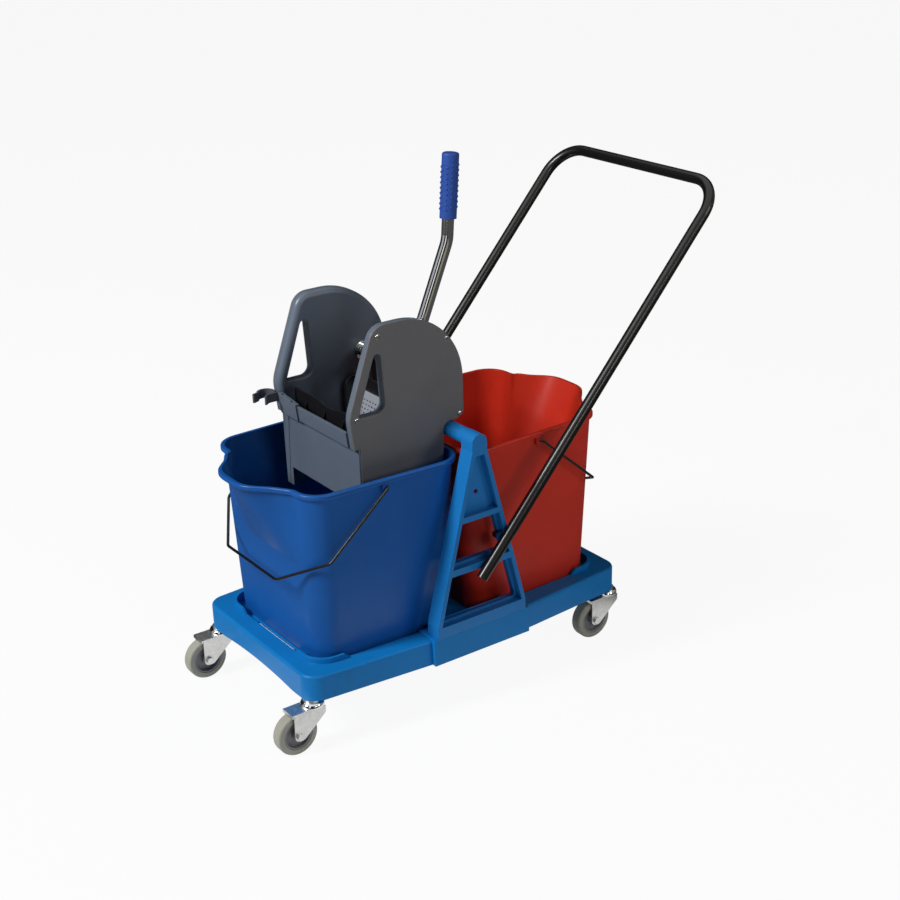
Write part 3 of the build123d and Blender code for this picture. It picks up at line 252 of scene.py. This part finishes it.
def add_grip_dots():
    """Staggered columns of raised dots round the lever's grip."""
    lean = math.radians(4.5)
    grip_radius = 0.0145
    columns = 10
    rows = 9
    pitch_along = 0.0088
    dot_radius = 0.0021
    dot_height = 0.0013
    dot_sink = 0.0005
    low, high = (Vector(corner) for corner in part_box("lever_grip"))
    middle = (low + high) / 2
    along = Vector((math.sin(lean), 0, math.cos(lean)))
    ahead = Vector((math.cos(lean), 0, -math.sin(lean)))
    across = along.cross(ahead)
    grid = bmesh.new()
    for column in range(columns):
        angle = math.tau * column / columns
        outward = ahead * math.cos(angle) + across * math.sin(angle)
        beside = along.cross(outward)
        for row in range(rows):
            rise = (row - (rows - 1) / 2 + (column % 2) / 2 - 0.5) * pitch_along
            place = middle + along * rise + outward * grip_radius
            turn = Matrix((beside, outward.cross(beside), outward)).transposed().to_4x4()
            add_dome(grid, Matrix.Translation(place) @ turn, dot_radius, dot_height, dot_sink)
    add_piece("grip_dots", grid, "press", "grip_blue")


add_grip_dots()


# Camera, floor and light
def place_camera():
    data = bpy.data.cameras.new("camera")
    data.sensor_width = sensor_width
    data.sensor_fit = "HORIZONTAL"
    data.lens = focal * sensor_width / picture
    data.shift_x = -centre_shift[0] / picture
    data.shift_y = centre_shift[1] / picture
    data.clip_start = 0.05
    camera = bpy.data.objects.new("camera", data)
    bpy.context.scene.collection.objects.link(camera)
    heading, dip, lean = (math.radians(angle) for angle in (yaw, pitch, roll))
    forward = Vector((math.cos(heading) * math.cos(dip), math.sin(heading) * math.cos(dip), -math.sin(dip)))
    right = Vector((math.sin(heading), -math.cos(heading), 0.0))
    up = right.cross(forward)
    turned_right = right * math.cos(lean) + up * math.sin(lean)
    turned_up = up * math.cos(lean) - right * math.sin(lean)
    turn = Matrix((turned_right, turned_up, -forward)).transposed()
    camera.matrix_world = Matrix.Translation(camera_place) @ turn.to_4x4()
    bpy.context.scene.camera = camera


def seen_directly(tree):
    """Socket that is 1 for rays from the camera, or by way of a mirror or glass."""
    path = tree.nodes.new("ShaderNodeLightPath")
    first = tree.nodes.new("ShaderNodeMath")
    first.operation = "MAXIMUM"
    tree.links.new(path.outputs["Is Camera Ray"], first.inputs[0])
    tree.links.new(path.outputs["Is Glossy Ray"], first.inputs[1])
    second = tree.nodes.new("ShaderNodeMath")
    second.operation = "MAXIMUM"
    tree.links.new(first.outputs["Value"], second.inputs[0])
    tree.links.new(path.outputs["Is Transmission Ray"], second.inputs[1])
    return second.outputs["Value"]


def add_stage(name, corners, faces, material):
    mesh = bpy.data.meshes.new(name)
    mesh.from_pydata(corners, [], faces)
    mesh.materials.append(material)
    piece = bpy.data.objects.new(name, mesh)
    bpy.context.scene.collection.objects.link(piece)
    return piece


def place_floor(glow_share):
    half = 14.0
    material, tree, shader = new_material("floor")
    shader.inputs["Base Color"].default_value = (0.80, 0.80, 0.80, 1)
    shader.inputs["Roughness"].default_value = 0.9
    shader.inputs["Specular IOR Level"].default_value = 0.1
    glow = tree.nodes.new("ShaderNodeEmission")
    share = tree.nodes.new("ShaderNodeMath")
    share.operation = "MULTIPLY"
    share.inputs[1].default_value = glow_share
    tree.links.new(seen_directly(tree), share.inputs[0])
    mix = tree.nodes.new("ShaderNodeMixShader")
    tree.links.new(share.outputs["Value"], mix.inputs["Fac"])
    tree.links.new(shader.outputs["BSDF"], mix.inputs[1])
    tree.links.new(glow.outputs["Emission"], mix.inputs[2])
    tree.links.new(mix.outputs["Shader"], tree.nodes["Material Output"].inputs["Surface"])
    corners = [(-half, -half, 0), (half, -half, 0), (half, half, 0), (-half, half, 0)]
    add_stage("floor", corners, [(0, 1, 2, 3)], material)


def place_world(ambient):
    world = bpy.data.worlds.new("studio")
    bpy.context.scene.world = world
    world.use_nodes = True
    tree = world.node_tree
    background = tree.nodes["Background"]
    background.inputs["Color"].default_value = (1, 1, 1, 1)
    strength = tree.nodes.new("ShaderNodeMapRange")
    strength.inputs["To Min"].default_value = ambient
    strength.inputs["To Max"].default_value = 1.0
    tree.links.new(seen_directly(tree), strength.inputs["Value"])
    tree.links.new(strength.outputs["Result"], background.inputs["Strength"])


def add_card(name, corners, faces, shade):
    """A studio card that only mirrors see."""
    material, tree, _ = new_material(name)
    glow = tree.nodes.new("ShaderNodeEmission")
    glow.inputs["Color"].default_value = (*shade, 1)
    tree.links.new(glow.outputs["Emission"], tree.nodes["Material Output"].inputs["Surface"])
    card = add_stage(name, corners, faces, material)
    card.visible_camera = False
    card.visible_diffuse = False
    card.visible_shadow = False
    card.visible_transmission = False


def place_card(name, first, last, shade):
    """A tall curved card far round the object, between two compass angles."""
    height = 7.0
    steps = 12
    corners = []
    for step in range(steps + 1):
        angle = math.radians(first + (last - first) * step / steps)
        spot = (card_reach * math.cos(angle), card_reach * math.sin(angle))
        corners.extend([(*spot, 0.0), (*spot, height)])
    faces = [(2 * step, 2 * step + 2, 2 * step + 3, 2 * step + 1) for step in range(steps)]
    add_card(name, corners, faces, shade)


def place_ring(name, inner, shade):
    """A flat card just above the floor, out from the pale patch that the object stands on."""
    steps = 48
    lift = 0.0005
    corners = []
    for step in range(steps):
        angle = math.tau * step / steps
        for reach in (inner, card_reach):
            corners.append((reach * math.cos(angle), reach * math.sin(angle), lift))
    faces = []
    for step in range(steps):
        here = 2 * step
        following = 2 * ((step + 1) % steps)
        faces.append((here, here + 1, following + 1, following))
    add_card(name, corners, faces, shade)


def place_lamp(name, place, aim, width, height, power):
    data = bpy.data.lights.new(name, "AREA")
    data.shape = "RECTANGLE"
    data.size = width
    data.size_y = height
    data.energy = power
    lamp = bpy.data.objects.new(name, data)
    lamp.location = place
    lamp.rotation_euler = (Vector(aim) - Vector(place)).to_track_quat("-Z", "Y").to_euler()
    bpy.context.scene.collection.objects.link(lamp)


dark = (0.02, 0.02, 0.02)
object_middle = (0.0, 0.0, 0.4)
place_camera()
place_floor(glow_share=0.93)
place_world(ambient=0.05)
place_card("card_back", 3, 140, dark)
place_card("card_left", 140, 181, (0.45, 0.46, 0.48))
place_card("card_front_left", 181, 207, dark)
place_card("card_front", 223, 250, dark)
place_card("card_right", 250, 363, (0.30, 0.27, 0.20))
place_ring("card_floor", 0.48, (0.08, 0.08, 0.08))
place_lamp("key", (-3.72, 0.36, 3.55), object_middle, 0.8, 1.6, 215)
place_lamp("fill", (1.45, -2.7, 1.7), object_middle, 0.9, 0.9, 15)
place_lamp("strip", (-0.05, -2.87, 1.38), (0.25, 0.0, 0.55), 0.25, 0.7, 7.5)
bpy.context.scene.view_settings.view_transform = "Standard"
